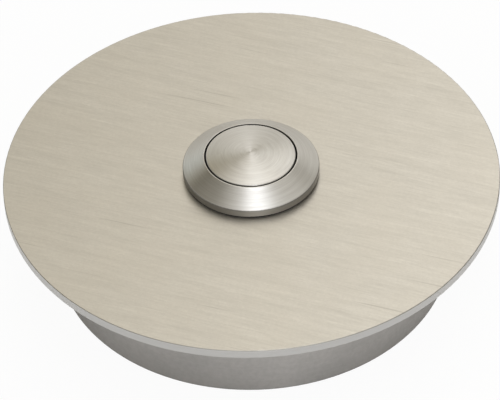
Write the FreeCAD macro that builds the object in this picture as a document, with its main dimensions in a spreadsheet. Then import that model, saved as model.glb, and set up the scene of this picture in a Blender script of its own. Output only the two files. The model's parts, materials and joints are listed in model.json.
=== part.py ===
import FreeCAD, Part
import math
import os
import re

import Sketcher
from FreeCAD import Placement, Rotation, Vector

# Bell push for a house door: a round brushed plate on a skirt ring, with a turned push
# button in its middle. The wall face is at height 0, +Z points out of the wall, and the
# button's axis is the Z axis. All sizes are in millimetres.

SIZES = {
    # skirt ring, which stands on the wall and carries the plate
    "skirt_diameter": 64.5,
    "skirt_height": 15.5,
    "skirt_wall": 2.0,
    "skirt_edge_break": 0.2,
    # front plate
    "plate_overhang": 7.75,
    "plate_thickness": 1.6,
    "plate_edge_round": 0.12,
    # wall plate, which is screwed to the wall inside the skirt ring
    "wall_plate_clearance": 0.3,
    "wall_plate_thickness": 1.5,
    "wall_plate_edge_break": 0.3,
    "collar_gap": 2.1,
    "collar_wall": 1.5,
    "collar_height": 8.0,
    "slot_width": 4.5,
    "slot_length": 8.0,
    "slot_margin": 0.65,
    "cable_hole_land": 2.0,
    # grub screws through the skirt ring, which bear on the collar
    "grub_diameter": 4.0,
    "grub_height": 5.0,
    "grub_sink": 0.1,
    "grub_end_break": 0.35,
    "grub_socket_width": 2.0,
    "grub_socket_depth": 1.8,
    # button housing: bevelled bezel and threaded barrel in one turned piece
    "barrel_diameter": 19.0,
    "barrel_wall": 1.5,
    "barrel_clearance": 0.1,
    "bezel_overhang": 1.5,
    "bezel_rim_height": 1.3,
    "bezel_rise": 2.0,
    "bezel_lip": 0.15,
    "bezel_rim_round": 0.25,
    "bezel_lip_round": 0.08,
    "web_depth": 4.1,
    "web_thickness": 1.6,
    # sealing ring under the bezel
    "seal_thickness": 0.3,
    "seal_inset": 0.2,
    # lock washer and hexagon nut behind the front plate
    "washer_thickness": 0.6,
    "washer_width": 2.6,
    "washer_tooth_depth": 0.9,
    "washer_notch_width": 1.4,
    "washer_notches": 12,
    "nut_thickness": 2.5,
    "nut_wall": 1.5,
    "nut_corner_drop": 0.45,
    "thread_clearance": 0.05,
    # push cap with its stem
    "cap_diameter": 14.4,
    "cap_gap": 0.3,
    "cap_stand": 0.1,
    "cap_crown": 0.6,
    "cap_thickness": 2.8,
    "cap_edge_round": 0.15,
    "cap_travel": 1.2,
    "stem_diameter": 6.0,
    "stem_clearance": 0.05,
    "stem_tail": 0.8,
    "spigot_diameter": 3.0,
    "spigot_length": 1.4,
    # seal round the stem, in a recess of the web
    "stem_seal_width": 1.0,
    "stem_seal_height": 0.8,
    "stem_seal_lip": 0.3,
    # return spring between the web and the cap
    "spring_diameter": 11.2,
    "spring_wire": 0.6,
    "spring_turns": 4.5,
    "spring_seat_depth": 0.5,
    "spring_seat_clearance": 0.5,
    "spring_end_gap": 0.02,
    # clip that keeps the cap in the housing
    "clip_thickness": 0.5,
    "clip_width": 2.2,
    "clip_play": 0.05,
    "clip_mouth": 3.4,
    "groove_depth": 0.6,
    "groove_clearance": 0.02,
    # pusher and contact bridge on the end of the stem
    "pusher_diameter": 8.4,
    "pusher_height": 2.0,
    "bridge_thickness": 0.3,
    "bridge_width": 3.0,
    "bridge_end": 1.3,
    "bridge_clearance": 0.05,
    "tip_diameter": 1.8,
    "tip_height": 0.4,
    "contact_gap": 0.05,
    # fixed contacts in their carrier, which closes the barrel
    "contact_rim_gap": 0.25,
    "contact_head_diameter": 4.4,
    "contact_head_height": 0.5,
    "contact_post_diameter": 3.8,
    "carrier_thickness": 1.9,
    "carrier_clearance": 0.05,
    "carrier_rim_wall": 0.9,
    "carrier_rim_height": 1.6,
    "barrier_thickness": 1.2,
    "barrier_end_gap": 1.5,
    # wire clamps and terminal screws below the carrier
    "clamp_side": 4.6,
    "clamp_thickness": 0.6,
    "clamp_hole_clearance": 0.1,
    "terminal_diameter": 2.5,
    "terminal_end_gap": 0.3,
    "terminal_head_diameter": 4.2,
    "terminal_head_height": 1.2,
    "terminal_slot_width": 0.6,
    "terminal_slot_depth": 0.6,
}

# Radii from the button's axis, as formulas of the sizes
SKIRT_OUTER = "(skirt_diameter / 2)"
SKIRT_INNER = f"({SKIRT_OUTER} - skirt_wall)"
PLATE_OUTER = f"({SKIRT_OUTER} + plate_overhang)"
WALL_PLATE_OUTER = f"({SKIRT_INNER} - wall_plate_clearance)"
COLLAR_OUTER = f"({SKIRT_INNER} - collar_gap)"
COLLAR_INNER = f"({COLLAR_OUTER} - collar_wall)"
SLOT_OUTER_CENTRE = f"({COLLAR_INNER} - slot_margin - slot_width / 2)"
SLOT_INNER_CENTRE = f"({SLOT_OUTER_CENTRE} - slot_length + slot_width)"
CABLE_HOLE = f"({SLOT_INNER_CENTRE} - slot_width / 2 - cable_hole_land)"
BARREL_OUTER = "(barrel_diameter / 2)"
BARREL_INNER = f"({BARREL_OUTER} - barrel_wall)"
PLATE_HOLE = f"({BARREL_OUTER} + barrel_clearance)"
BEZEL_OUTER = f"({BARREL_OUTER} + bezel_overhang)"
NUT_INNER = f"({BARREL_OUTER} + thread_clearance)"
NUT_HALF_WIDTH = f"({BARREL_OUTER} + nut_wall)"
CAP_OUTER = "(cap_diameter / 2)"
CAP_BORE = f"({CAP_OUTER} + cap_gap)"
STEM_OUTER = "(stem_diameter / 2)"
STEM_GUIDE = f"({STEM_OUTER} + stem_clearance)"
STEM_SEAL_OUTER = f"({STEM_GUIDE} + stem_seal_width)"
GROOVE_FLOOR = f"({STEM_OUTER} - groove_depth)"
SPRING_MIDDLE = "(spring_diameter / 2)"
SPIGOT_OUTER = "(spigot_diameter / 2)"
CARRIER_OUTER = f"({BARREL_INNER} - carrier_clearance)"
CARRIER_RIM_INNER = f"({CARRIER_OUTER} - carrier_rim_wall)"
CONTACT_OFFSET = f"({CARRIER_RIM_INNER} - contact_rim_gap - contact_head_diameter / 2)"
TERMINAL_OUTER = "(terminal_diameter / 2)"

# Heights above the wall, as formulas of the sizes
PLATE_BACK = "skirt_height"
PLATE_FACE = f"({PLATE_BACK} + plate_thickness)"
SEAL_TOP = f"({PLATE_FACE} + seal_thickness)"
RIM_TOP = f"({SEAL_TOP} + bezel_rim_height)"
LIP_TOP = f"({RIM_TOP} + bezel_rise)"
CAP_EDGE = f"({LIP_TOP} + cap_stand)"
CAP_APEX = f"({CAP_EDGE} + cap_crown)"
CAP_UNDER = f"({CAP_EDGE} - cap_thickness)"
SPRING_TOP = f"({CAP_UNDER} + spring_seat_depth)"
WASHER_BACK = f"({PLATE_BACK} - washer_thickness)"
NUT_BACK = f"({WASHER_BACK} - nut_thickness)"
WEB_TOP = f"({SEAL_TOP} - web_depth)"
WEB_BOTTOM = f"({WEB_TOP} - web_thickness)"
STEM_SEAL_FLOOR = f"({WEB_TOP} - stem_seal_height)"
CLIP_TOP = f"({WEB_BOTTOM} - clip_play)"
CLIP_BOTTOM = f"({CLIP_TOP} - clip_thickness)"
STEM_END = f"({CLIP_BOTTOM} - stem_tail)"
SPIGOT_END = f"({STEM_END} - spigot_length)"
PUSHER_BOTTOM = f"({STEM_END} - pusher_height)"
BRIDGE_TOP = f"({PUSHER_BOTTOM} + bridge_thickness)"
TIP_BOTTOM = f"({PUSHER_BOTTOM} - tip_height)"
CONTACT_TOP = f"({TIP_BOTTOM} - cap_travel - contact_gap)"
CARRIER_TOP = f"({CONTACT_TOP} - contact_head_height)"
CARRIER_BOTTOM = f"({CARRIER_TOP} - carrier_thickness)"
CLAMP_BOTTOM = f"({CARRIER_BOTTOM} - clamp_thickness)"
TERMINAL_BOTTOM = f"({CLAMP_BOTTOM} - terminal_head_height)"

ON_AXIS = "0"
CLOSE = 1e-4
HALF_TURN = 180
RADIANS = math.pi / HALF_TURN
SIDES = {"right": 0, "left": HALF_TURN}

os.makedirs("parts", exist_ok=True)
doc = FreeCAD.newDocument("bell_push")
sheet = doc.addObject("Spreadsheet::Sheet", "sizes")
for row, (alias, number) in enumerate(SIZES.items(), start=1):
    sheet.set(f"A{row}", alias)
    sheet.set(f"B{row}", str(number))
    sheet.setAlias(f"B{row}", alias)
doc.recompute()

subparts = []


def read_from_sheet(word):
    """A size's name as the sheet's cell; any other word stays as it is."""
    name = word.group()
    return f"sizes.{name}" if name in SIZES else name


def bound(formula):
    """The formula as an expression, with each size read from the sheet."""
    return re.sub(r"[a-z_]+", read_from_sheet, formula)


def value(formula):
    """The formula's value now."""
    return float(sheet.evalExpression(bound(formula)))


def new_body(label, turn=0):
    """An empty body for one piece, turned about the button's axis."""
    body = doc.addObject("PartDesign::Body", label)
    body.Label = label
    body.Placement = Placement(Vector(), Rotation(Vector(0, 0, 1), turn))
    subparts.append(body)
    return body


def origin_feature(body, role):
    """A plane or axis of the body's own origin."""
    return next(item for item in body.Origin.OriginFeatures if item.Role == role)


def new_sketch(body, name, plane, offset=None):
    """An empty sketch on a plane of the body, moved along the plane's normal."""
    sketch = body.newObject("Sketcher::SketchObject", name)
    sketch.AttachmentSupport = [(origin_feature(body, plane), "")]
    sketch.MapMode = "FlatFace"
    if offset is not None:
        sketch.setExpression(".AttachmentOffset.Base.z", bound(offset))
    return sketch


def limit(sketch, kind, where, formula):
    """A constraint whose value follows the sheet."""
    number = sketch.addConstraint(Sketcher.Constraint(kind, *where, value(formula)))
    sketch.setExpression(f"Constraints[{number}]", bound(formula))


def place_point(sketch, geometry, point, across, up):
    """Places a point of the sketch from the sketch's origin."""
    limit(sketch, "DistanceX", (-1, 1, geometry, point), across)
    limit(sketch, "DistanceY", (-1, 1, geometry, point), up)


def add_circle(sketch, across, up, radius):
    """A circle with its centre and radius bound to the sheet."""
    centre = Vector(value(across), value(up), 0)
    circle = sketch.addGeometry(Part.Circle(centre, Vector(0, 0, 1), value(radius)))
    place_point(sketch, circle, 3, across, up)
    limit(sketch, "Radius", (circle,), radius)


def add_outline(sketch, corners):
    """A closed outline of straight lines through corners that are bound to the sheet."""
    points = [Vector(value(across), value(up), 0) for across, up in corners]
    first = sketch.GeometryCount
    following = points[1:] + points[:1]
    for start, end in zip(points, following):
        sketch.addGeometry(Part.LineSegment(start, end))
    for index, (across, up) in enumerate(corners):
        line = first + index
        next_line = first + (index + 1) % len(corners)
        sketch.addConstraint(Sketcher.Constraint("Coincident", line, 2, next_line, 1))
        place_point(sketch, line, 1, across, up)


def add_rectangle(sketch, low_across, high_across, low_up, high_up):
    """A rectangle between two bound places in each direction."""
    corners = [
        (low_across, low_up),
        (high_across, low_up),
        (high_across, high_up),
        (low_across, high_up),
    ]
    add_outline(sketch, corners)


def add_hexagon(sketch, half_width, middle_up=ON_AXIS):
    """A hexagon with flats at half_width to both sides of the sketch's upright axis."""
    side = f"({half_width} * tan(30 deg))"
    point = f"({half_width} / cos(30 deg))"
    corners = [
        (half_width, side),
        (ON_AXIS, point),
        (f"-{half_width}", side),
        (f"-{half_width}", f"-{side}"),
        (ON_AXIS, f"-{point}"),
        (half_width, f"-{side}"),
    ]
    add_outline(sketch, [(across, f"{middle_up} + {up}") for across, up in corners])


def revolve(body, name, corners):
    """Turns a closed outline of radius and height about the button's axis."""
    sketch = new_sketch(body, f"{name}_outline", "XZ_Plane")
    add_outline(sketch, corners)
    return revolve_sketch(body, name, sketch)


def revolve_sketch(body, name, sketch):
    """Turns a sketch about its own upright axis."""
    feature = body.newObject("PartDesign::Revolution", name)
    feature.Profile = sketch
    feature.ReferenceAxis = (sketch, ["V_Axis"])
    feature.Angle = 360
    doc.recompute()
    return feature


def pad(body, name, sketch, height, from_above=False):
    """Raises a sketch into a solid, or lowers it if it lies at the solid's upper face."""
    feature = body.newObject("PartDesign::Pad", name)
    feature.Profile = sketch
    feature.setExpression("Length", bound(height))
    feature.Reversed = from_above
    doc.recompute()
    return feature


def cut_is_real(body, feature, volume_before):
    """Stops if a cut took nothing away, and otherwise makes it the body's last feature."""
    doc.recompute()
    if feature.Shape.Volume > volume_before - CLOSE:
        raise RuntimeError(f"{feature.Name} cuts nothing")
    body.Tip = feature
    return feature


def pocket(body, name, sketch, depth, along_normal=False):
    """Cuts a sketch into the solid, against the sketch's normal unless along_normal is set."""
    volume_before = body.Shape.Volume
    feature = body.newObject("PartDesign::Pocket", name)
    feature.Profile = sketch
    feature.setExpression("Length", bound(depth))
    feature.Reversed = along_normal
    return cut_is_real(body, feature, volume_before)


def groove(body, name, corners):
    """Cuts an outline of radius and height all round the button's axis."""
    volume_before = body.Shape.Volume
    sketch = new_sketch(body, f"{name}_outline", "XZ_Plane")
    add_outline(sketch, corners)
    feature = body.newObject("PartDesign::Groove", name)
    feature.Profile = sketch
    feature.ReferenceAxis = (sketch, ["V_Axis"])
    feature.Angle = 360
    return cut_is_real(body, feature, volume_before)


def round_edges(feature, radius, height):
    """The feature's circular edges of one radius at one height."""
    names = []
    for number, edge in enumerate(feature.Shape.Edges, start=1):
        if not isinstance(edge.Curve, Part.Circle):
            continue
        fits_radius = abs(edge.Curve.Radius - value(radius)) < CLOSE
        fits_height = abs(edge.Curve.Center.z - value(height)) < CLOSE
        if fits_radius and fits_height:
            names.append(f"Edge{number}")
    return names


def dress(body, kind, name, edges, size):
    """Rounds or breaks edges of the body's last feature."""
    base = body.Tip
    feature = body.newObject(f"PartDesign::{kind}", name)
    feature.Base = (base, edges)
    feature.setExpression("Radius" if kind == "Fillet" else "Size", bound(size))
    doc.recompute()
    body.Tip = feature
    return feature


def ring_body(label, inner, outer, bottom, height):
    """A plain ring about the button's axis."""
    body = new_body(label)
    sketch = new_sketch(body, f"{label}_circles", "XY_Plane", bottom)
    add_circle(sketch, ON_AXIS, ON_AXIS, outer)
    add_circle(sketch, ON_AXIS, ON_AXIS, inner)
    pad(body, f"{label}_ring", sketch, height)
    return body


def make_front_plate():
    """Round plate with the button's hole and a softened outer edge."""
    body = ring_body("front_plate", PLATE_HOLE, PLATE_OUTER, PLATE_BACK, "plate_thickness")
    edges = round_edges(body.Tip, PLATE_OUTER, PLATE_FACE)
    edges += round_edges(body.Tip, PLATE_OUTER, PLATE_BACK)
    dress(body, "Fillet", "front_plate_edge", edges, "plate_edge_round")


def make_skirt_ring():
    """Ring behind the plate, drilled across for the two grub screws."""
    body = ring_body("skirt_ring", SKIRT_INNER, SKIRT_OUTER, ON_AXIS, "skirt_height")
    edges = round_edges(body.Tip, SKIRT_OUTER, ON_AXIS)
    dress(body, "Chamfer", "skirt_ring_edge", edges, "skirt_edge_break")
    volume_before = body.Shape.Volume
    sketch = new_sketch(body, "skirt_ring_grub_circle", "YZ_Plane")
    add_circle(sketch, ON_AXIS, "grub_height", "grub_diameter / 2")
    feature = body.newObject("PartDesign::Pocket", "skirt_ring_grub_holes")
    feature.Profile = sketch
    feature.Type = "ThroughAll"
    feature.SideType = "Symmetric"
    cut_is_real(body, feature, volume_before)


def add_slot(sketch, width, inner_centre, outer_centre):
    """A slot with round ends, along the sketch's upright axis."""
    radius = f"({width} / 2)"
    turns = (0, HALF_TURN), (HALF_TURN, 2 * HALF_TURN)
    first = sketch.GeometryCount
    for centre, (start, end) in zip((outer_centre, inner_centre), turns):
        circle = Part.Circle(Vector(0, value(centre), 0), Vector(0, 0, 1), value(radius))
        sketch.addGeometry(Part.ArcOfCircle(circle, RADIANS * start, RADIANS * end))
    half = value(radius)
    low = value(inner_centre)
    high = value(outer_centre)
    sketch.addGeometry(Part.LineSegment(Vector(-half, high, 0), Vector(-half, low, 0)))
    sketch.addGeometry(Part.LineSegment(Vector(half, low, 0), Vector(half, high, 0)))
    outer_arc, inner_arc, left_line, right_line = range(first, first + 4)
    joins = [
        (outer_arc, 2, left_line, 1),
        (left_line, 2, inner_arc, 1),
        (inner_arc, 2, right_line, 1),
        (right_line, 2, outer_arc, 1),
    ]
    for join in joins:
        sketch.addConstraint(Sketcher.Constraint("Tangent", *join))
    sketch.addConstraint(Sketcher.Constraint("Equal", outer_arc, inner_arc))
    place_point(sketch, outer_arc, 3, ON_AXIS, outer_centre)
    place_point(sketch, inner_arc, 3, ON_AXIS, inner_centre)
    limit(sketch, "Radius", (outer_arc,), radius)


def make_wall_plate():
    """Dished plate: a flat base with a cable hole and two screw slots, and an upright collar."""
    body = new_body("wall_plate")
    section = [
        (CABLE_HOLE, ON_AXIS),
        (WALL_PLATE_OUTER, ON_AXIS),
        (WALL_PLATE_OUTER, "wall_plate_thickness"),
        (COLLAR_OUTER, "wall_plate_thickness"),
        (COLLAR_OUTER, "collar_height"),
        (COLLAR_INNER, "collar_height"),
        (COLLAR_INNER, "wall_plate_thickness"),
        (CABLE_HOLE, "wall_plate_thickness"),
    ]
    revolve(body, "wall_plate_dish", section)
    edges = round_edges(body.Tip, COLLAR_OUTER, "collar_height")
    edges += round_edges(body.Tip, COLLAR_INNER, "collar_height")
    edges += round_edges(body.Tip, CABLE_HOLE, ON_AXIS)
    edges += round_edges(body.Tip, CABLE_HOLE, "wall_plate_thickness")
    dress(body, "Fillet", "wall_plate_edges", edges, "wall_plate_edge_break")
    sketch = new_sketch(body, "wall_plate_slot_outline", "XY_Plane")
    add_slot(sketch, "slot_width", SLOT_INNER_CENTRE, SLOT_OUTER_CENTRE)
    slot = pocket(body, "wall_plate_slot", sketch, "wall_plate_thickness", along_normal=True)
    volume_before = body.Shape.Volume
    mirror = body.newObject("PartDesign::Mirrored", "wall_plate_slots")
    mirror.Originals = [slot]
    mirror.MirrorPlane = (origin_feature(body, "XZ_Plane"), [""])
    cut_is_real(body, mirror, volume_before)


def make_grub_screw(side, turn):
    """Socket set screw that lies along the X axis, from the collar to just inside the skirt."""
    body = new_body(f"grub_screw_{side}", turn)
    name = body.Label
    length = f"({SKIRT_OUTER} - grub_sink - {COLLAR_OUTER})"
    outer_end = f"({COLLAR_OUTER} + {length})"
    shank = new_sketch(body, f"{name}_circle", "YZ_Plane", COLLAR_OUTER)
    add_circle(shank, ON_AXIS, "grub_height", "grub_diameter / 2")
    pad(body, f"{name}_shank", shank, length)
    rims = [
        f"Edge{number}"
        for number, edge in enumerate(body.Tip.Shape.Edges, start=1)
        if isinstance(edge.Curve, Part.Circle)
    ]
    dress(body, "Chamfer", f"{name}_ends", rims, "grub_end_break")
    socket = new_sketch(body, f"{name}_socket_hexagon", "YZ_Plane", outer_end)
    add_hexagon(socket, "(grub_socket_width / 2)", "grub_height")
    pocket(body, f"{name}_socket", socket, "grub_socket_depth")


def make_button_housing():
    """Turned housing: bevelled bezel, threaded barrel, and a web that guides the stem."""
    body = new_body("button_housing")
    section = [
        (CAP_BORE, LIP_TOP),
        (f"{CAP_BORE} + bezel_lip", LIP_TOP),
        (BEZEL_OUTER, RIM_TOP),
        (BEZEL_OUTER, SEAL_TOP),
        (BARREL_OUTER, SEAL_TOP),
        (BARREL_OUTER, CARRIER_BOTTOM),
        (BARREL_INNER, CARRIER_BOTTOM),
        (BARREL_INNER, WEB_BOTTOM),
        (STEM_GUIDE, WEB_BOTTOM),
        (STEM_GUIDE, STEM_SEAL_FLOOR),
        (STEM_SEAL_OUTER, STEM_SEAL_FLOOR),
        (STEM_SEAL_OUTER, WEB_TOP),
        (CAP_BORE, WEB_TOP),
    ]
    turned = revolve(body, "button_housing_turned", section)
    rim = round_edges(turned, BEZEL_OUTER, RIM_TOP)
    rim += round_edges(turned, BEZEL_OUTER, SEAL_TOP)
    dress(body, "Fillet", "button_housing_rim", rim, "bezel_rim_round")
    lip = round_edges(body.Tip, f"{CAP_BORE} + bezel_lip", LIP_TOP)
    dress(body, "Fillet", "button_housing_lip", lip, "bezel_lip_round")


def make_bezel_seal():
    """Flat rubber ring between the bezel and the front plate."""
    outer = f"({BEZEL_OUTER} - seal_inset)"
    ring_body("bezel_seal", PLATE_HOLE, outer, PLATE_FACE, "seal_thickness")


def make_lock_washer():
    """Washer with inner teeth, between the front plate and the nut."""
    outer = f"({NUT_INNER} + washer_width)"
    body = ring_body("lock_washer", NUT_INNER, outer, WASHER_BACK, "washer_thickness")
    sketch = new_sketch(body, "lock_washer_notch_outline", "XY_Plane", WASHER_BACK)
    half = "(washer_notch_width / 2)"
    reach = f"({NUT_INNER} + washer_tooth_depth)"
    add_rectangle(sketch, f"{NUT_INNER} - washer_tooth_depth", reach, f"-{half}", half)
    notch = pocket(body, "lock_washer_notch", sketch, "washer_thickness", along_normal=True)
    volume_before = body.Shape.Volume
    pattern = body.newObject("PartDesign::PolarPattern", "lock_washer_notches")
    pattern.Originals = [notch]
    pattern.Axis = (origin_feature(body, "Z_Axis"), [""])
    pattern.Angle = 2 * HALF_TURN
    pattern.setExpression("Occurrences", bound("washer_notches"))
    cut_is_real(body, pattern, volume_before)


def make_fixing_nut():
    """Thin hexagon nut whose corners are turned down at both faces."""
    body = new_body("fixing_nut")
    sketch = new_sketch(body, "fixing_nut_hexagon", "XY_Plane", NUT_BACK)
    add_hexagon(sketch, NUT_HALF_WIDTH)
    add_circle(sketch, ON_AXIS, ON_AXIS, NUT_INNER)
    pad(body, "fixing_nut_block", sketch, "nut_thickness")
    corner = f"({NUT_HALF_WIDTH} / cos(30 deg))"
    drops = {
        "lower": (NUT_BACK, f"{NUT_BACK} + nut_corner_drop"),
        "upper": (WASHER_BACK, f"{WASHER_BACK} - nut_corner_drop"),
    }
    for end, (face, drop) in drops.items():
        turned_down = [
            (NUT_HALF_WIDTH, face),
            (f"{corner} + nut_wall", face),
            (f"{corner} + nut_wall", drop),
            (corner, drop),
        ]
        groove(body, f"fixing_nut_{end}_corners", turned_down)


def make_button_cap():
    """Crowned cap and stem turned in one piece, with a spring seat under the cap."""
    body = new_body("button_cap")
    sketch = new_sketch(body, "button_cap_outline", "XZ_Plane")
    seat_outer = f"({SPRING_MIDDLE} + (spring_wire + spring_seat_clearance) / 2)"
    seat_inner = f"({SPRING_MIDDLE} - (spring_wire + spring_seat_clearance) / 2)"
    corners = [
        (CAP_OUTER, CAP_EDGE),
        (CAP_OUTER, CAP_UNDER),
        (seat_outer, CAP_UNDER),
        (seat_outer, SPRING_TOP),
        (seat_inner, SPRING_TOP),
        (seat_inner, CAP_UNDER),
        (STEM_OUTER, CAP_UNDER),
        (STEM_OUTER, f"{CLIP_TOP} + groove_clearance"),
        (GROOVE_FLOOR, f"{CLIP_TOP} + groove_clearance"),
        (GROOVE_FLOOR, f"{CLIP_BOTTOM} - groove_clearance"),
        (STEM_OUTER, f"{CLIP_BOTTOM} - groove_clearance"),
        (STEM_OUTER, STEM_END),
        (SPIGOT_OUTER, STEM_END),
        (SPIGOT_OUTER, SPIGOT_END),
        (ON_AXIS, SPIGOT_END),
        (ON_AXIS, CAP_EDGE),
    ]
    add_outline(sketch, corners)
    revolve_sketch(body, "button_cap_turned", sketch)
    edges = round_edges(body.Tip, CAP_OUTER, CAP_EDGE)
    dress(body, "Fillet", "button_cap_edge", edges, "cap_edge_round")
    crown = new_sketch(body, "button_cap_crown_outline", "XZ_Plane")
    flat_outer = f"({CAP_OUTER} - cap_edge_round)"
    radius = f"(({flat_outer} * {flat_outer} + cap_crown * cap_crown) / (2 * cap_crown))"
    centre_up = f"({CAP_APEX} - {radius})"
    add_crown(crown, flat_outer, centre_up)
    revolve_sketch(body, "button_cap_crown", crown)


def add_crown(sketch, outer, centre_up):
    """A low dome's half section: a flat base, the axis and an arc from the rim to the apex."""
    centre = Vector(0, value(centre_up), 0)
    rim = Vector(value(outer), value(CAP_EDGE), 0)
    apex = Vector(0, value(CAP_APEX), 0)
    foot = Vector(0, value(CAP_EDGE), 0)
    slope = (rim - centre).getAngle(Vector(1, 0, 0))
    circle = Part.Circle(centre, Vector(0, 0, 1), (apex - centre).Length)
    arc = sketch.addGeometry(Part.ArcOfCircle(circle, slope, RADIANS * HALF_TURN / 2))
    axis_line = sketch.addGeometry(Part.LineSegment(apex, foot))
    base_line = sketch.addGeometry(Part.LineSegment(foot, rim))
    for join in ((arc, 2, axis_line, 1), (axis_line, 2, base_line, 1), (base_line, 2, arc, 1)):
        sketch.addConstraint(Sketcher.Constraint("Coincident", *join))
    place_point(sketch, axis_line, 1, ON_AXIS, CAP_APEX)
    place_point(sketch, axis_line, 2, ON_AXIS, CAP_EDGE)
    place_point(sketch, base_line, 2, outer, CAP_EDGE)
    limit(sketch, "DistanceX", (-1, 1, arc, 3), ON_AXIS)


def make_stem_seal():
    """Rubber ring round the stem, with a shallow channel that leaves a lip on each side."""
    body = new_body("stem_seal")
    channel = "(stem_seal_height - stem_seal_lip)"
    section = [
        (STEM_GUIDE, STEM_SEAL_FLOOR),
        (STEM_SEAL_OUTER, STEM_SEAL_FLOOR),
        (STEM_SEAL_OUTER, WEB_TOP),
        (f"{STEM_SEAL_OUTER} - stem_seal_lip", WEB_TOP),
        (f"{STEM_SEAL_OUTER} - stem_seal_lip", f"{WEB_TOP} - {channel}"),
        (f"{STEM_GUIDE} + stem_seal_lip", f"{WEB_TOP} - {channel}"),
        (f"{STEM_GUIDE} + stem_seal_lip", WEB_TOP),
        (STEM_GUIDE, WEB_TOP),
    ]
    revolve(body, "stem_seal_turned", section)


def make_return_spring():
    """Coil spring that stands on the web and bears on the cap."""
    body = new_body("return_spring")
    wire = new_sketch(body, "return_spring_wire", "XZ_Plane")
    add_circle(wire, SPRING_MIDDLE, f"{WEB_TOP} + spring_wire / 2", "spring_wire / 2")
    coil = body.newObject("PartDesign::AdditiveHelix", "return_spring_coil")
    coil.Profile = wire
    coil.ReferenceAxis = (wire, ["V_Axis"])
    coil.Mode = "height-turns-angle"
    coil.setExpression("Height", bound(f"{SPRING_TOP} - {WEB_TOP} - spring_wire - spring_end_gap"))
    coil.setExpression("Turns", bound("spring_turns"))
    doc.recompute()


def make_retaining_clip():
    """Flat clip that snaps into the stem's groove from one side."""
    outer = f"({GROOVE_FLOOR} + clip_width)"
    body = ring_body("retaining_clip", GROOVE_FLOOR, outer, CLIP_BOTTOM, "clip_thickness")
    sketch = new_sketch(body, "retaining_clip_mouth_outline", "XY_Plane", CLIP_BOTTOM)
    half = "(clip_mouth / 2)"
    add_rectangle(sketch, f"-{half}", half, f"-{outer} - clip_width", ON_AXIS)
    pocket(body, "retaining_clip_mouth", sketch, "clip_thickness", along_normal=True)


def make_contact_pusher():
    """Plastic button on the stem's spigot, slotted below for the contact bridge."""
    body = new_body("contact_pusher")
    section = [
        (ON_AXIS, PUSHER_BOTTOM),
        ("pusher_diameter / 2", PUSHER_BOTTOM),
        ("pusher_diameter / 2", STEM_END),
        (SPIGOT_OUTER, STEM_END),
        (SPIGOT_OUTER, SPIGOT_END),
        (ON_AXIS, SPIGOT_END),
    ]
    revolve(body, "contact_pusher_turned", section)
    sketch = new_sketch(body, "contact_pusher_slot_outline", "XY_Plane", PUSHER_BOTTOM)
    half = "(bridge_width / 2 + bridge_clearance)"
    add_rectangle(sketch, "-pusher_diameter", "pusher_diameter", f"-{half}", half)
    pocket(body, "contact_pusher_slot", sketch, "bridge_thickness", along_normal=True)


def make_contact_bridge():
    """Brass strip across the pusher, with a silver-faced tip under each end."""
    body = new_body("contact_bridge")
    reach = f"({CONTACT_OFFSET} + bridge_end)"
    half = "(bridge_width / 2)"
    strip = new_sketch(body, "contact_bridge_outline", "XY_Plane", PUSHER_BOTTOM)
    add_rectangle(strip, f"-{reach}", reach, f"-{half}", half)
    pad(body, "contact_bridge_strip", strip, "bridge_thickness")
    tips = new_sketch(body, "contact_bridge_tip_circles", "XY_Plane", PUSHER_BOTTOM)
    for offset in (CONTACT_OFFSET, f"-{CONTACT_OFFSET}"):
        add_circle(tips, offset, ON_AXIS, "tip_diameter / 2")
    pad(body, "contact_bridge_tips", tips, "tip_height", from_above=True)


def make_contact_carrier():
    """Plastic plug in the barrel's end: floor, rim, two post holes and a barrier below."""
    body = new_body("contact_carrier")
    rim_top = f"({CARRIER_TOP} + carrier_rim_height)"
    section = [
        (ON_AXIS, CARRIER_BOTTOM),
        (CARRIER_OUTER, CARRIER_BOTTOM),
        (CARRIER_OUTER, rim_top),
        (CARRIER_RIM_INNER, rim_top),
        (CARRIER_RIM_INNER, CARRIER_TOP),
        (ON_AXIS, CARRIER_TOP),
    ]
    revolve(body, "contact_carrier_cup", section)
    barrier = new_sketch(body, "contact_carrier_barrier_outline", "XY_Plane", CARRIER_BOTTOM)
    across = "(barrier_thickness / 2)"
    along = f"({BARREL_INNER} - barrier_end_gap)"
    add_rectangle(barrier, f"-{across}", across, f"-{along}", along)
    barrier_height = f"({CARRIER_BOTTOM} - {TERMINAL_BOTTOM})"
    pad(body, "contact_carrier_barrier", barrier, barrier_height, from_above=True)
    holes = new_sketch(body, "contact_carrier_post_circles", "XY_Plane", CARRIER_BOTTOM)
    for offset in (CONTACT_OFFSET, f"-{CONTACT_OFFSET}"):
        add_circle(holes, offset, ON_AXIS, "contact_post_diameter / 2")
    pocket(body, "contact_carrier_holes", holes, "carrier_thickness", along_normal=True)


def make_fixed_contact(side, turn):
    """Brass contact: a head on the carrier's floor and a post tapped from below."""
    body = new_body(f"fixed_contact_{side}", turn)
    name = body.Label
    post = new_sketch(body, f"{name}_post_circle", "XY_Plane", CARRIER_BOTTOM)
    add_circle(post, CONTACT_OFFSET, ON_AXIS, "contact_post_diameter / 2")
    pad(body, f"{name}_post", post, "carrier_thickness")
    head = new_sketch(body, f"{name}_head_circle", "XY_Plane", CARRIER_TOP)
    add_circle(head, CONTACT_OFFSET, ON_AXIS, "contact_head_diameter / 2")
    pad(body, f"{name}_head", head, "contact_head_height")
    thread = new_sketch(body, f"{name}_thread_circle", "XY_Plane", CARRIER_BOTTOM)
    add_circle(thread, CONTACT_OFFSET, ON_AXIS, TERMINAL_OUTER)
    pocket(body, f"{name}_thread", thread, "carrier_thickness", along_normal=True)


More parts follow.
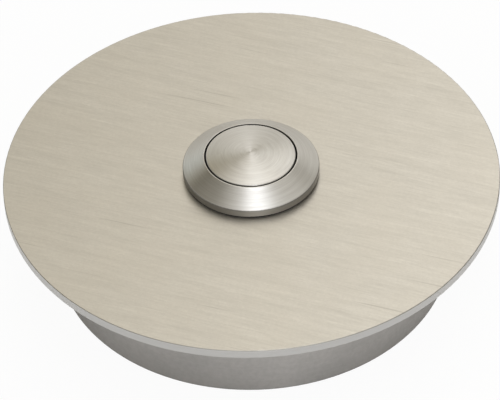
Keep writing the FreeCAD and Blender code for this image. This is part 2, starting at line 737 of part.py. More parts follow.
def make_wire_clamp(side, turn):
    """Square washer that holds a wire against the contact's post."""
    body = new_body(f"wire_clamp_{side}", turn)
    name = body.Label
    half = "(clamp_side / 2)"
    sketch = new_sketch(body, f"{name}_outline", "XY_Plane", CLAMP_BOTTOM)
    low = f"{CONTACT_OFFSET} - {half}"
    high = f"{CONTACT_OFFSET} + {half}"
    add_rectangle(sketch, low, high, f"-{half}", half)
    add_circle(sketch, CONTACT_OFFSET, ON_AXIS, f"{TERMINAL_OUTER} + clamp_hole_clearance")
    pad(body, f"{name}_plate", sketch, "clamp_thickness")


def make_terminal_screw(side, turn):
    """Slotted screw that is driven up into the contact's post."""
    body = new_body(f"terminal_screw_{side}", turn)
    name = body.Label
    head = new_sketch(body, f"{name}_head_circle", "XY_Plane", TERMINAL_BOTTOM)
    add_circle(head, CONTACT_OFFSET, ON_AXIS, "terminal_head_diameter / 2")
    pad(body, f"{name}_head", head, "terminal_head_height")
    shank = new_sketch(body, f"{name}_shank_circle", "XY_Plane", CLAMP_BOTTOM)
    add_circle(shank, CONTACT_OFFSET, ON_AXIS, TERMINAL_OUTER)
    length = f"({CARRIER_TOP} - terminal_end_gap - {CLAMP_BOTTOM})"
    pad(body, f"{name}_shank", shank, length)
    slot = new_sketch(body, f"{name}_slot_outline", "XY_Plane", TERMINAL_BOTTOM)
    across = "(terminal_slot_width / 2)"
    low = f"-{across}"
    reach = "terminal_head_diameter"
    add_rectangle(slot, f"{CONTACT_OFFSET} - {reach}", f"{CONTACT_OFFSET} + {reach}", low, across)
    pocket(body, f"{name}_slot", slot, "terminal_slot_depth", along_normal=True)


make_front_plate()
make_skirt_ring()
make_wall_plate()
make_button_housing()
make_bezel_seal()
make_lock_washer()
make_fixing_nut()
make_button_cap()
make_stem_seal()
make_return_spring()
make_retaining_clip()
make_contact_pusher()
make_contact_bridge()
make_contact_carrier()
for side_name, side_turn in SIDES.items():
    make_grub_screw(side_name, side_turn)
    make_fixed_contact(side_name, side_turn)
    make_wire_clamp(side_name, side_turn)
    make_terminal_screw(side_name, side_turn)
doc.recompute()

for item in doc.Objects:
    if "Invalid" in item.State or "Error" in item.State:
        raise RuntimeError(f"{item.Name} failed: {item.State}")
for subpart in subparts:
    if subpart.Shape.isNull() or not subpart.Shape.isValid() or len(subpart.Shape.Solids) != 1:
        raise RuntimeError(f"{subpart.Label} is not one valid solid")
for subpart in subparts:
    subpart.Shape.exportStep(f"parts/{subpart.Label}.step")
    print(subpart.Label, round(subpart.Shape.Volume, 3))
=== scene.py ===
import json
import math

import bpy
from mathutils import Matrix, Vector


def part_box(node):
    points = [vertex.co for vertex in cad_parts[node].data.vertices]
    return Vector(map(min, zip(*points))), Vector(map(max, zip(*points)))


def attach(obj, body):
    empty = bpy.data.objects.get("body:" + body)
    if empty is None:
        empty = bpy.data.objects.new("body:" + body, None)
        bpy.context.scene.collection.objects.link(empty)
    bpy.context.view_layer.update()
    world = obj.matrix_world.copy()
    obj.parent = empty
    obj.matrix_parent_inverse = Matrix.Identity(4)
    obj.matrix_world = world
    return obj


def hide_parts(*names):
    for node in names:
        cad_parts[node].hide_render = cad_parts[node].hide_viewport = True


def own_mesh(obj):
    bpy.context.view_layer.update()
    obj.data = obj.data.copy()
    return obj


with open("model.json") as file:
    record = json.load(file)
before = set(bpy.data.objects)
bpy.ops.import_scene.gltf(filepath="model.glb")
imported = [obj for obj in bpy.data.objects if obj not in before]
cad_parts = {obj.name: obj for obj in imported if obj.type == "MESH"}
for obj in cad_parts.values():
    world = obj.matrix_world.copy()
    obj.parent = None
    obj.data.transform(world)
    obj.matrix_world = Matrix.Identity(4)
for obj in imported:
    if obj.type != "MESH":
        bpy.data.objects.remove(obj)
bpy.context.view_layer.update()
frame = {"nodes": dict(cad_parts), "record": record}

# A brushed-steel bell push. Lengths are in metres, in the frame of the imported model: the wall
# is at height 0, +Z points out of it, and the button's axis is the Z axis.

MILLIMETRE = 0.001
MICROMETRE = 0.001 * MILLIMETRE
UP = (0.0, 0.0, 1.0)

# Main places of the part, read from the frame
plate_low, plate_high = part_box("front_plate")
PLATE_FACE = plate_high.z
PLATE_RADIUS = plate_high.x
SKIRT_TOP = plate_low.z
SKIRT_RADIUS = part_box("skirt_ring")[1].x
BEZEL_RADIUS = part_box("button_housing")[1].x

# Camera: the photograph's view, found by fitting circles of the plate, bezel and skirt ring
IMAGE_WIDTH = 500
SENSOR_WIDTH = 36.0
FOCAL_PIXELS = 3021.7
CAMERA_ELEVATION = math.radians(43.31)
CAMERA_ROLL = math.radians(-1.87)
CAMERA_DISTANCE = 12.17 * PLATE_RADIUS
CAMERA_RIGHT_SHIFT = 0.0050 * PLATE_RADIUS
CAMERA_UP_SHIFT = 0.1144 * PLATE_RADIUS
CAMERA_NEAREST = 0.01
CAMERA_FARTHEST = 10.0


class Tree:
    """Short calls for the nodes of one shader. A span is the pair of values where a change
    starts and ends."""

    def __init__(self, owner):
        owner.use_nodes = True
        self.nodes = owner.node_tree.nodes
        self.links = owner.node_tree.links
        self.nodes.clear()

    def add(self, kind, **settings):
        """A node with its properties set."""
        node = self.nodes.new(kind)
        for name, value in settings.items():
            setattr(node, name, value)
        return node

    def feed(self, socket, value):
        """Links a socket to another one, or sets its own value."""
        if isinstance(value, bpy.types.NodeSocket):
            self.links.new(value, socket)
        else:
            socket.default_value = value

    def math(self, operation, first, second=0.0):
        """A math node's result."""
        node = self.add("ShaderNodeMath", operation=operation)
        self.feed(node.inputs[0], first)
        self.feed(node.inputs[1], second)
        return node.outputs[0]

    def weighed(self, first, share, second):
        """Two values added, the first by its share and the second by the rest."""
        return self.math(
            "ADD",
            self.math("MULTIPLY", first, share),
            self.math("MULTIPLY", second, 1.0 - share),
        )

    def vector(self, operation, first, second=(0.0, 0.0, 0.0), result="Vector"):
        """A vector math node's result."""
        node = self.add("ShaderNodeVectorMath", operation=operation)
        self.feed(node.inputs[0], first)
        self.feed(node.inputs[1], second)
        return node.outputs[result]

    def scaled(self, vector, factor):
        """A vector times a number."""
        node = self.add("ShaderNodeVectorMath", operation="SCALE")
        self.feed(node.inputs[0], vector)
        self.feed(node.inputs["Scale"], factor)
        return node.outputs["Vector"]

    def combined(self, x, y, z):
        """A vector from three numbers."""
        node = self.add("ShaderNodeCombineXYZ")
        for socket, value in zip(node.inputs, (x, y, z)):
            self.feed(socket, value)
        return node.outputs[0]

    def separated(self, vector):
        """The three numbers of a vector."""
        node = self.add("ShaderNodeSeparateXYZ")
        self.feed(node.inputs[0], vector)
        return node.outputs

    def noise(self, vector, scale=1.0, detail=2.0, roughness=0.6):
        """A noise texture's value, from 0 to 1."""
        node = self.add("ShaderNodeTexNoise")
        self.feed(node.inputs["Vector"], vector)
        self.feed(node.inputs["Scale"], scale)
        self.feed(node.inputs["Detail"], detail)
        self.feed(node.inputs["Roughness"], roughness)
        return node.outputs["Fac"]

    def ranged(self, value, span, at_start, at_end, smooth=False):
        """A value moved from a span to another range, and held at its ends."""
        kind = "SMOOTHSTEP" if smooth else "LINEAR"
        node = self.add("ShaderNodeMapRange", interpolation_type=kind)
        self.feed(node.inputs["Value"], value)
        for name, number in (
            ("From Min", span[0]),
            ("From Max", span[1]),
            ("To Min", at_start),
            ("To Max", at_end),
        ):
            self.feed(node.inputs[name], number)
        return node.outputs["Result"]

    def rising(self, value, span, most=1.0, smooth=False):
        """A rise from 0 at the start of a span to the most at its end."""
        return self.ranged(value, span, 0.0, most, smooth)

    def mixed(self, factor, first, second):
        """Two colours mixed by a factor."""
        node = self.add("ShaderNodeMix", data_type="RGBA")
        colours = [socket for socket in node.inputs if socket.type == "RGBA"]
        result = [socket for socket in node.outputs if socket.type == "RGBA"][0]
        self.feed(node.inputs["Factor"], factor)
        self.feed(colours[0], first)
        self.feed(colours[1], second)
        return result

    def bump(self, height, depth):
        """A bumped normal from a height between 0 and 1."""
        node = self.add("ShaderNodeBump")
        self.feed(node.inputs["Strength"], 1.0)
        self.feed(node.inputs["Distance"], depth)
        self.feed(node.inputs["Height"], height)
        return node.outputs["Normal"]

    def surface(self, **inputs):
        """A principled surface, linked to the output."""
        shader = self.add("ShaderNodeBsdfPrincipled")
        for name, value in inputs.items():
            self.feed(shader.inputs[name.replace("_", " ").title()], value)
        self.finish("ShaderNodeOutputMaterial", shader)

    def finish(self, kind, shader):
        """Links a shader to the output."""
        output = self.add(kind)
        self.links.new(shader.outputs[0], output.inputs["Surface"])

    def place(self):
        """The point's place in the frame: each piece's object sits at the origin."""
        return self.add("ShaderNodeTexCoord").outputs["Object"]

    def normal(self):
        """The direction that the surface faces."""
        return self.add("ShaderNodeNewGeometry").outputs["Normal"]

    def level(self):
        """How far the surface faces up: 1 on a flat top and 0 on an upright side."""
        return self.separated(self.normal())[2]


def colour(red, green, blue):
    """An opaque colour."""
    return (red, green, blue, 1.0)


def new_tree(name):
    """A new material and its node tree."""
    material = bpy.data.materials.new(name)
    return material, Tree(material)


# Where most values of a noise lie
MIDDLE = (0.35, 0.65)
MOST = (0.30, 0.70)
UPPER = (0.35, 0.70)

# Brushed plate. The brush's direction is turned from +X towards the camera, and lines are given
# as how many a metre along and across it.
BRUSH_TURN = math.radians(-21.5)
STROKE_TURN = math.radians(1.7)
FINE_LINES = (230, 3000)
BROAD_LINES = (60, 640)
STROKE_LINES = (45, 1700)
FINE_SHARE = 0.55
STREAK_SPAN = (0.32, 0.68)
STROKE_SPAN = (0.70, 0.80)
STROKE_DEPTH = 0.34
PLATE_CLOUD_SCALE = 90.0
PLATE_GRAIN_SCALE = 2600.0
PLATE_LIGHT = colour(0.680, 0.652, 0.596)
PLATE_DARK = colour(0.562, 0.536, 0.486)
PLATE_CLOUD = colour(0.620, 0.583, 0.517)
PLATE_GRAIN = colour(0.467, 0.442, 0.400)
PLATE_STROKE = colour(0.317, 0.292, 0.258)
PLATE_CUT_SIDE = colour(0.590, 0.588, 0.590)
# Painted shade: a dark line on the rounded edge between the plate's face and its cut side
PLATE_EDGE_SHADE = colour(0.170, 0.170, 0.165)

# How level the surface is where the plate's face turns into its cut side
CUT_SIDE_SPAN = (0.75, 0.10)
PAST_FACE_SPAN = (0.995, 0.93)
PAST_SIDE_SPAN = (0.10, 0.30)


def brushed_lines(tree, turn, lines, detail, roughness):
    """Noise drawn out along the brush's direction."""
    along, across = lines
    node = tree.add("ShaderNodeMapping", vector_type="POINT")
    tree.feed(node.inputs["Vector"], tree.place())
    node.inputs["Rotation"].default_value = (0.0, 0.0, -turn)
    stretched = tree.vector("MULTIPLY", node.outputs[0], (along, across, across))
    return tree.noise(stretched, detail=detail, roughness=roughness)


def make_plate_steel():
    """Straight-brushed steel: faint short lines, a few darker strokes, a plain cut edge, and a
    painted shade line along the rounded edge between face and cut side.
    """
    material, tree = new_tree("plate_steel")
    fine = brushed_lines(tree, BRUSH_TURN, FINE_LINES, 3.0, 0.65)
    broad = brushed_lines(tree, BRUSH_TURN, BROAD_LINES, 3.0, 0.6)
    stroke = brushed_lines(tree, BRUSH_TURN + STROKE_TURN, STROKE_LINES, 1.0, 0.4)
    cloud = tree.noise(tree.place(), PLATE_CLOUD_SCALE, detail=3.0, roughness=0.55)
    grain = tree.noise(tree.place(), PLATE_GRAIN_SCALE)
    streaks = tree.weighed(fine, FINE_SHARE, broad)
    base = tree.mixed(tree.rising(streaks, STREAK_SPAN), PLATE_DARK, PLATE_LIGHT)
    clouded = tree.mixed(tree.rising(cloud, MIDDLE, 0.35), base, PLATE_CLOUD)
    grained = tree.mixed(tree.rising(grain, MOST, 0.24), clouded, PLATE_GRAIN)
    strokes = tree.rising(stroke, STROKE_SPAN, smooth=True)
    marked = tree.mixed(tree.math("MULTIPLY", strokes, STROKE_DEPTH), grained, PLATE_STROKE)
    level = tree.level()
    cut_side = tree.rising(level, CUT_SIDE_SPAN)
    sided = tree.mixed(cut_side, marked, PLATE_CUT_SIDE)
    past_face = tree.rising(level, PAST_FACE_SPAN)
    past_side = tree.rising(level, PAST_SIDE_SPAN)
    # Painted shade line along the rounded edge between the face and the cut side
    edge_shade_mask = tree.math("MULTIPLY", past_face, past_side)
    edge_shaded = tree.mixed(tree.math("MULTIPLY", edge_shade_mask, 0.55), sided, PLATE_EDGE_SHADE)
    across = tree.combined(-math.sin(BRUSH_TURN), math.cos(BRUSH_TURN), 0.0)
    upright = tree.scaled(UP, tree.math("MULTIPLY", cut_side, 2.0))
    tree.surface(
        base_color=edge_shaded,
        metallic=1.0,
        roughness=tree.ranged(streaks, MOST, 0.39, 0.35),
        anisotropic=0.55,
        tangent=tree.vector("ADD", across, upright),
        normal=tree.bump(streaks, 3.5 * MICROMETRE),
    )
    return material


# Turned bezel and cap. Marks are given as how fine they are in radius, in height and round the
# axis. Upright faces get painted shade, and the rounded edge between bevel and rim gets a painted
# shade line, outside the line's radius.
TOOL_MARKS = (9000.0, 9000.0, 0.7)
TOOL_RINGS = (2400.0, 2400.0, 1.6)
TOOL_MARK_SHARE = 0.55
TURNED_PATCH_SCALE = 260.0
TURNED_DARK = colour(0.545, 0.531, 0.506)
TURNED_LIGHT = colour(0.655, 0.645, 0.622)
TURNED_STAIN = colour(0.553, 0.526, 0.480)
# Painted shade for upright faces such as the bezel's rim
TURNED_UPRIGHT_SHADE = colour(0.320, 0.309, 0.288)
# Painted shade line on the rounded edge between bevel and rim
RIM_SHADE_LINE = colour(0.120, 0.115, 0.108)
RIM_LINE_RADIUS = BEZEL_RADIUS - 1.0 * MILLIMETRE
UPRIGHT_SPAN = (0.55, 0.15)
PAST_BEVEL_SPAN = (0.80, 0.55)
PAST_RIM_SPAN = (0.10, 0.30)


def turned_coordinates(tree):
    """Distance from the button's axis, height, and angle round the axis."""
    x, y, z = tree.separated(tree.place())
    radius = tree.vector("LENGTH", tree.combined(x, y, 0.0), result="Value")
    return radius, z, tree.math("ARCTAN2", y, x)


def turned_marks(tree, coordinates, fineness, detail=2.0, roughness=0.6):
    """Noise drawn out round the button's axis."""
    scaled = [tree.math("MULTIPLY", place, fine) for place, fine in zip(coordinates, fineness)]
    return tree.noise(tree.combined(*scaled), detail=detail, roughness=roughness)


def slope_tangent(tree):
    """The direction straight down a turned surface, across its circular tool marks."""
    around = tree.vector("CROSS_PRODUCT", UP, tree.place())
    down = tree.vector("CROSS_PRODUCT", around, tree.normal())
    return tree.vector("NORMALIZE", down)


def make_turned_steel():
    """Finely turned steel: tool marks run round the axis, with painted shade on upright faces and a
    painted shade line at the rounded edge between bevel and rim.
    """
    material, tree = new_tree("turned_steel")
    coordinates = turned_coordinates(tree)
    fine = turned_marks(tree, coordinates, TOOL_MARKS)
    rings = turned_marks(tree, coordinates, TOOL_RINGS, roughness=0.55)
    marks = tree.weighed(fine, TOOL_MARK_SHARE, rings)
    patch = tree.noise(tree.place(), TURNED_PATCH_SCALE, roughness=0.5)
    base = tree.mixed(tree.rising(marks, MIDDLE), TURNED_DARK, TURNED_LIGHT)
    stained = tree.mixed(tree.rising(patch, UPPER, 0.25), base, TURNED_STAIN)
    level = tree.level()
    # Painted shade: upright faces are darkened
    upright_shaded = tree.mixed(tree.rising(level, UPRIGHT_SPAN), stained, TURNED_UPRIGHT_SHADE)
    past_bevel = tree.rising(level, PAST_BEVEL_SPAN)
    past_rim = tree.rising(level, PAST_RIM_SPAN)
    # Painted shade line on the rounded edge outside the rim line's radius
    outside = tree.math("GREATER_THAN", coordinates[0], RIM_LINE_RADIUS)
    rim_shade_line = tree.math("MULTIPLY", tree.math("MULTIPLY", past_bevel, past_rim), outside)
    rim_line_shaded = tree.mixed(tree.math("MULTIPLY", rim_shade_line, 0.75), upright_shaded, RIM_SHADE_LINE)
    tree.surface(
        base_color=rim_line_shaded,
        metallic=1.0,
        roughness=tree.ranged(marks, MIDDLE, 0.355, 0.305),
        anisotropic=0.85,
        tangent=slope_tangent(tree),
        normal=tree.bump(marks, 2.0 * MICROMETRE),
    )
    return material


# Satin skirt ring, with painted shade that darkens it from its top to its foot and a painted contact
# shadow at its foot
SKIRT_MARKS = (1500.0, 2600.0, 3.0)
SKIRT_GRAIN_SCALE = 3200.0
SKIRT_CLOUD_SCALE = 120.0
SKIRT_SPECKLE_SCALE = 1300.0
SKIRT_DARK = colour(0.470, 0.459, 0.452)
SKIRT_LIGHT = colour(0.590, 0.580, 0.570)
SKIRT_CLOUD = colour(0.650, 0.630, 0.620)
SKIRT_SPECKLE = colour(0.30, 0.29, 0.285)
# Painted shade, darkening the ring towards its foot
SKIRT_SHADE = colour(0.20, 0.195, 0.19)
# Painted contact shadow: a dark line at the ring's foot
SKIRT_FOOT_SHADOW = colour(0.100, 0.097, 0.094)
SKIRT_SHADE_SPAN = (SKIRT_TOP, 0.0)
SKIRT_FOOT_SHADOW_SPAN = (0.5 * MILLIMETRE, 0.0)


def make_skirt_steel():
    """Satin steel: a soft speckled grain, with painted shade that darkens it downwards and a painted
    contact shadow as a dark line at its foot.
    """
    material, tree = new_tree("skirt_steel")
    coordinates = turned_coordinates(tree)
    height = coordinates[1]
    marks = turned_marks(tree, coordinates, SKIRT_MARKS, detail=3.0)
    grain = tree.noise(tree.place(), SKIRT_GRAIN_SCALE)
    cloud = tree.noise(tree.place(), SKIRT_CLOUD_SCALE, detail=3.0)
    speckle = tree.noise(tree.place(), SKIRT_SPECKLE_SCALE, detail=3.0)
    base = tree.mixed(marks, SKIRT_DARK, SKIRT_LIGHT)
    clouded = tree.mixed(tree.rising(cloud, MOST, 0.5), base, SKIRT_CLOUD)
    speckled = tree.mixed(tree.rising(speckle, UPPER, 0.22), clouded, SKIRT_SPECKLE)
    # Painted shade: darker from the ring's top down to its foot
    shaded = tree.mixed(tree.rising(height, SKIRT_SHADE_SPAN, 0.30), speckled, SKIRT_SHADE)
    # Painted contact shadow along the ring's foot
    foot = tree.rising(height, SKIRT_FOOT_SHADOW_SPAN, 0.65, smooth=True)
    foot_shadowed = tree.mixed(foot, shaded, SKIRT_FOOT_SHADOW)
    relief = tree.math("ADD", tree.math("MULTIPLY", grain, 0.6), marks)
    tree.surface(
        base_color=foot_shadowed,
        metallic=1.0,
        roughness=tree.ranged(grain, MOST, 0.44, 0.38),
        anisotropic=0.7,
        tangent=slope_tangent(tree),
        normal=tree.bump(relief, 4.0 * MICROMETRE),
    )
    return material


ZINC_CRYSTAL_SCALE = 420.0
ZINC_CRYSTAL_SPAN = (0.0, 0.9)
ZINC_GRAIN_SCALE = 2500.0
ZINC_DARK = colour(0.55, 0.56, 0.58)
ZINC_LIGHT = colour(0.66, 0.67, 0.68)


def make_zinc():
    """Zinc-plated sheet: bright grey with soft crystal patches."""
    material, tree = new_tree("zinc_plated")
    cells = tree.add("ShaderNodeTexVoronoi", feature="F1")
    tree.feed(cells.inputs["Vector"], tree.place())
    tree.feed(cells.inputs["Scale"], ZINC_CRYSTAL_SCALE)
    crystals = tree.rising(cells.outputs["Distance"], ZINC_CRYSTAL_SPAN)
    grain = tree.noise(tree.place(), ZINC_GRAIN_SCALE, detail=3.0)
    tree.surface(
        base_color=tree.mixed(crystals, ZINC_DARK, ZINC_LIGHT),
        metallic=1.0,
        roughness=tree.ranged(grain, MOST, 0.32, 0.46),
        normal=tree.bump(grain, 6.0 * MICROMETRE),
    )
    return material


# Small metal pieces: slot, darker and lighter colour, and roughness
METAL_GRAIN_SCALE = 2600.0
METAL_PATCH_SCALE = 500.0
METAL_ROUGHNESS_SWING = 0.06
METALS = [
    ("dark_screw", colour(0.09, 0.09, 0.095), colour(0.13, 0.13, 0.13), 0.42),
    ("spring_steel", colour(0.56, 0.56, 0.57), colour(0.66, 0.66, 0.66), 0.22),
    ("contact_brass", colour(0.72, 0.52, 0.22), colour(0.82, 0.62, 0.29), 0.30),
    ("nickel_screw", colour(0.58, 0.56, 0.52), colour(0.68, 0.66, 0.62), 0.28),
]


def make_metal(slot, dark, light, roughness):
    """A fastener's or contact's metal, with a fine grain and slight colour changes."""
    material, tree = new_tree(slot)
    grain = tree.noise(tree.place(), METAL_GRAIN_SCALE, detail=3.0)
    patch = tree.noise(tree.place(), METAL_PATCH_SCALE, roughness=0.5)
    smoothest = roughness - METAL_ROUGHNESS_SWING
    roughest = roughness + METAL_ROUGHNESS_SWING
    tree.surface(
        base_color=tree.mixed(tree.rising(patch, MOST), dark, light),
        metallic=1.0,
        roughness=tree.ranged(grain, MOST, smoothest, roughest),
        normal=tree.bump(grain, 3.0 * MICROMETRE),
    )
    return material


# Moulded pieces: slot, darker and lighter colour, roughness, and depth of the grain
MOULD_GRAIN_SCALE = 5200.0
MOULD_PATCH_SCALE = 400.0
MOULD_ROUGHNESS_SWING = 0.07
MOULDED = [
    ("seal_rubber", colour(0.012, 0.012, 0.012), colour(0.022, 0.021, 0.020), 0.62, 4.0 * MICROMETRE),
    ("black_nylon", colour(0.020, 0.020, 0.022), colour(0.034, 0.034, 0.036), 0.48, 5.0 * MICROMETRE),
    ("white_nylon", colour(0.70, 0.68, 0.63), colour(0.78, 0.77, 0.73), 0.42, 4.0 * MICROMETRE),
]


def make_moulded(slot, dark, light, roughness, depth):
    """Moulded rubber or plastic, with a fine spark-eroded grain."""
    material, tree = new_tree(slot)
    grain = tree.noise(tree.place(), MOULD_GRAIN_SCALE, detail=3.0)
    patch = tree.noise(tree.place(), MOULD_PATCH_SCALE, roughness=0.5)
    smoothest = roughness - MOULD_ROUGHNESS_SWING
    roughest = roughness + MOULD_ROUGHNESS_SWING
    tree.surface(
        base_color=tree.mixed(tree.rising(patch, MOST), dark, light),
        roughness=tree.ranged(grain, MOST, smoothest, roughest),
        normal=tree.bump(grain, depth),
    )
    return material


def make_materials():
    """One finish for each material slot of the record."""
    finishes = {
        "plate_steel": make_plate_steel(),
        "skirt_steel": make_skirt_steel(),
        "turned_steel": make_turned_steel(),
        "zinc_plated": make_zinc(),
    }
    for slot, *look in METALS:
        finishes[slot] = make_metal(slot, *look)
    for slot, *look in MOULDED:
        finishes[slot] = make_moulded(slot, *look)
    return finishes


def dress_nodes(materials):
    """Gives every node of the frame the finish of its slot."""
    for row in frame["record"]["subparts"]:
        node = frame["nodes"][row["node"]]
        finish = materials[row["material_slot"]]
        if not node.material_slots:
            node.data.materials.append(finish)
        for material_slot in node.material_slots:
            material_slot.material = finish


# The return spring as wound in the part's source, standing on the web of the housing
SPRING_WIRE = 0.6 * MILLIMETRE
SPRING_TURNS = 4.5
SPRING_STEPS_A_TURN = 72
SPRING_WIRE_SIDES = 20
SPRING_SHARP_ANGLE = math.radians(40)
SPRING_STEPS = int(SPRING_TURNS * SPRING_STEPS_A_TURN)


def spring_points(low, high):
    """Rings of points round the wire, one for each step along the coil."""
    wire = SPRING_WIRE / 2
    middle = high.x - wire
    rise = high.z - low.z - SPRING_WIRE
    points = []
    for step in range(SPRING_STEPS + 1):
        done = step / SPRING_STEPS
        turn = 2 * math.pi * SPRING_TURNS * done
        height = low.z + wire + rise * done
        for side in range(SPRING_WIRE_SIDES):
            round_wire = 2 * math.pi * side / SPRING_WIRE_SIDES
            radius = middle + wire * math.cos(round_wire)
            z = height + wire * math.sin(round_wire)
            points.append((radius * math.cos(turn), radius * math.sin(turn), z))
    return points


def spring_faces():
    """Quads along the wire and one flat face at each end, all facing outwards."""
    sides = SPRING_WIRE_SIDES
    faces = []
    for step in range(SPRING_STEPS):
        here = step * sides
        there = here + sides
        for side in range(sides):
            after = (side + 1) % sides
            faces.append((here + side, there + side, there + after, here + after))
    last = SPRING_STEPS * sides
    faces.append(tuple(range(sides)))
    faces.append(tuple(reversed(range(last, last + sides))))
    return faces


def make_spring(finish):
    """A coil spring that stands for the plain CAD spring."""
    low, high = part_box("return_spring")
    mesh = bpy.data.meshes.new("coiled_spring")
    mesh.from_pydata(spring_points(low, high), [], spring_faces())
    mesh.shade_smooth()
    mesh.set_sharp_from_angle(angle=SPRING_SHARP_ANGLE)
    mesh.materials.append(finish)
    spring = bpy.data.objects.new("coiled_spring", mesh)
    bpy.context.scene.collection.objects.link(spring)
    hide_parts("return_spring")
    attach(spring, "housing")
    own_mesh(spring)


def make_camera():
    """The photograph's camera, with no shift."""
    back = Vector((0.0, -math.cos(CAMERA_ELEVATION), math.sin(CAMERA_ELEVATION)))
    level_right = Vector((1.0, 0.0, 0.0))
    level_up = back.cross(level_right)
    right = math.cos(CAMERA_ROLL) * level_right + math.sin(CAMERA_ROLL) * level_up
    up = back.cross(right)
    middle = Vector((0.0, 0.0, PLATE_FACE))
    shift = CAMERA_RIGHT_SHIFT * right + CAMERA_UP_SHIFT * up
    data = bpy.data.cameras.new("photo_camera")
    data.sensor_width = SENSOR_WIDTH
    data.lens = FOCAL_PIXELS / IMAGE_WIDTH * SENSOR_WIDTH
    data.clip_start = CAMERA_NEAREST
    data.clip_end = CAMERA_FARTHEST
    camera = bpy.data.objects.new("photo_camera", data)
    bpy.context.scene.collection.objects.link(camera)
    axes = Matrix((right, up, back)).transposed().to_4x4()
    camera.matrix_world = Matrix.Translation(middle + CAMERA_DISTANCE * back - shift) @ axes
    bpy.context.scene.camera = camera


def direction(azimuth, elevation):
    """A unit vector: azimuth 0 is towards the photograph's camera, and 90 is to the right."""
    turn = math.radians(azimuth)
    rise = math.radians(elevation)
    return (math.sin(turn) * math.cos(rise), -math.cos(turn) * math.cos(rise), math.sin(rise))


# Tints of the light
PLAIN = (1.00, 1.00, 1.00)
MILD = (1.00, 0.98, 0.95)
WARM = (1.00, 0.97, 0.90)
COOL = (0.94, 0.98, 1.08)
SKY = (0.50, 0.90, 1.10)

# The studio as soft patches: towards where, how narrow, how bright and in which tint. The glooms
# stand for dark parts of a room, and take light away.
ROOM_BRIGHTNESS = 0.78
PATCHES = [
    ("high_window", direction(180, 66), 30, 1.25, MILD),
    ("front_high_window", direction(15, 70), 40, 2.35, COOL),
    ("back_right_window", direction(155, 45), 25, 0.90, PLAIN),
    ("left_back_sky", direction(-140, 20), 40, 0.20, SKY),
    ("low_front_window", direction(15, 5), 15, 1.40, PLAIN),
    ("front_strip", direction(0, 42), 90, 1.00, PLAIN),
    ("left_gloom", direction(-115, 38), 30, -0.70, MILD),
    ("high_left_gloom", direction(-90, 55), 25, -0.65, MILD),
    ("right_gloom", direction(120, 33), 18, -0.55, PLAIN),
    ("back_left_gloom", direction(-155, 48), 20, -0.72, COOL),
    ("front_left_gloom", direction(-50, 35), 15, -0.30, WARM),
    ("front_right_gloom", direction(50, 35), 15, -0.30, WARM),
]


def tinted(brightness, tint):
    """A tint at a brightness."""
    return tuple(brightness * part for part in tint)


def make_world():
    """Plain studio light from all round, with soft windows and a few darker parts."""
    world = bpy.data.worlds.new("studio")
    bpy.context.scene.world = world
    tree = Tree(world)
    towards = tree.add("ShaderNodeTexCoord").outputs["Generated"]
    towards = tree.vector("NORMALIZE", towards)
    total = tree.combined(*tinted(ROOM_BRIGHTNESS, WARM))
    for name, axis, narrowness, brightness, tint in PATCHES:
        along = tree.vector("DOT_PRODUCT", towards, axis, result="Value")
        power = tree.math("MULTIPLY", tree.math("SUBTRACT", along, 1.0), narrowness)
        patch = tree.scaled(tinted(brightness, tint), tree.math("EXPONENT", power))
        patch.node.label = name
        total = tree.vector("ADD", total, patch)
    background = tree.add("ShaderNodeBackground")
    tree.feed(background.inputs["Color"], tree.vector("MAXIMUM", total, (0.0, 0.0, 0.0)))
    tree.finish("ShaderNodeOutputWorld", background)


SOFTBOX_PLACE = Vector((0.08, -0.02, 0.62))
SOFTBOX_WIDTH = 0.42
SOFTBOX_DEPTH = 0.30
SOFTBOX_POWER = 0.10
SOFTBOX_TINT = (0.96, 0.99, 1.0)


def make_softbox():
    """A soft rectangular lamp overhead that shines at the middle of the plate."""
    data = bpy.data.lights.new("overhead_softbox", "AREA")
    data.shape = "RECTANGLE"
    data.size = SOFTBOX_WIDTH
    data.size_y = SOFTBOX_DEPTH
    data.energy = SOFTBOX_POWER
    data.color = SOFTBOX_TINT
    lamp = bpy.data.objects.new("overhead_softbox", data)
    bpy.context.scene.collection.objects.link(lamp)
    lamp.location = SOFTBOX_PLACE
    beam = Vector((0.0, 0.0, PLATE_FACE)) - SOFTBOX_PLACE
    lamp.rotation_euler = beam.to_track_quat("-Z", "Y").to_euler()


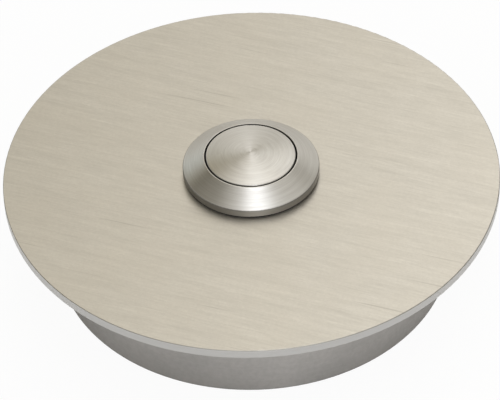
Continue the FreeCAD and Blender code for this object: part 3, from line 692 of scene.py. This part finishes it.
FLOOR_RADIUS = 4.0
FLOOR_DROP = 0.02 * MILLIMETRE
FLOOR_OPENING = SKIRT_RADIUS - 0.3 * MILLIMETRE
FLOOR_SIDES = 128
FLOOR_PAPER = colour(0.93, 0.93, 0.93)
FLOOR_WHITE = colour(1.0, 1.0, 1.0)
FLOOR_WHITE_SEEN = 0.94
FLOOR_WHITE_REFLECTED = 0.08


def make_floor_paper():
    """Pale paper that takes shadows. The camera sees it nearly white, and reflections a little so."""
    material, tree = new_tree("floor_paper")
    paper = tree.add("ShaderNodeBsdfDiffuse")
    paper.inputs["Color"].default_value = FLOOR_PAPER
    white = tree.add("ShaderNodeEmission")
    white.inputs["Color"].default_value = FLOOR_WHITE
    white.inputs["Strength"].default_value = 1.0
    path = tree.add("ShaderNodeLightPath")
    seen = tree.math("MULTIPLY", path.outputs["Is Camera Ray"], FLOOR_WHITE_SEEN)
    bounced = tree.math("MAXIMUM", path.outputs["Is Glossy Ray"], path.outputs["Is Transmission Ray"])
    bounced = tree.math("MULTIPLY", bounced, FLOOR_WHITE_REFLECTED)
    mix = tree.add("ShaderNodeMixShader")
    tree.feed(mix.inputs[0], tree.math("MAXIMUM", seen, bounced))
    tree.links.new(paper.outputs[0], mix.inputs[1])
    tree.links.new(white.outputs[0], mix.inputs[2])
    tree.finish("ShaderNodeOutputMaterial", mix)
    return material


def make_floor():
    """A plain pale floor that keeps the part's shadow. It is open under the skirt ring, where the
    part hides the opening from above, so that the part's back can be seen from below."""
    corners = []
    for radius in (FLOOR_OPENING, FLOOR_RADIUS):
        for side in range(FLOOR_SIDES):
            turn = 2 * math.pi * side / FLOOR_SIDES
            corners.append((radius * math.cos(turn), radius * math.sin(turn), -FLOOR_DROP))
    faces = []
    for side in range(FLOOR_SIDES):
        after = (side + 1) % FLOOR_SIDES
        faces.append((side, side + FLOOR_SIDES, after + FLOOR_SIDES, after))
    mesh = bpy.data.meshes.new("floor")
    mesh.from_pydata(corners, [], faces)
    mesh.materials.append(make_floor_paper())
    floor = bpy.data.objects.new("floor", mesh)
    bpy.context.scene.collection.objects.link(floor)


bpy.context.scene.view_settings.view_transform = "Standard"
make_camera()
materials = make_materials()
dress_nodes(materials)
make_spring(materials["spring_steel"])
make_world()
make_softbox()
make_floor()
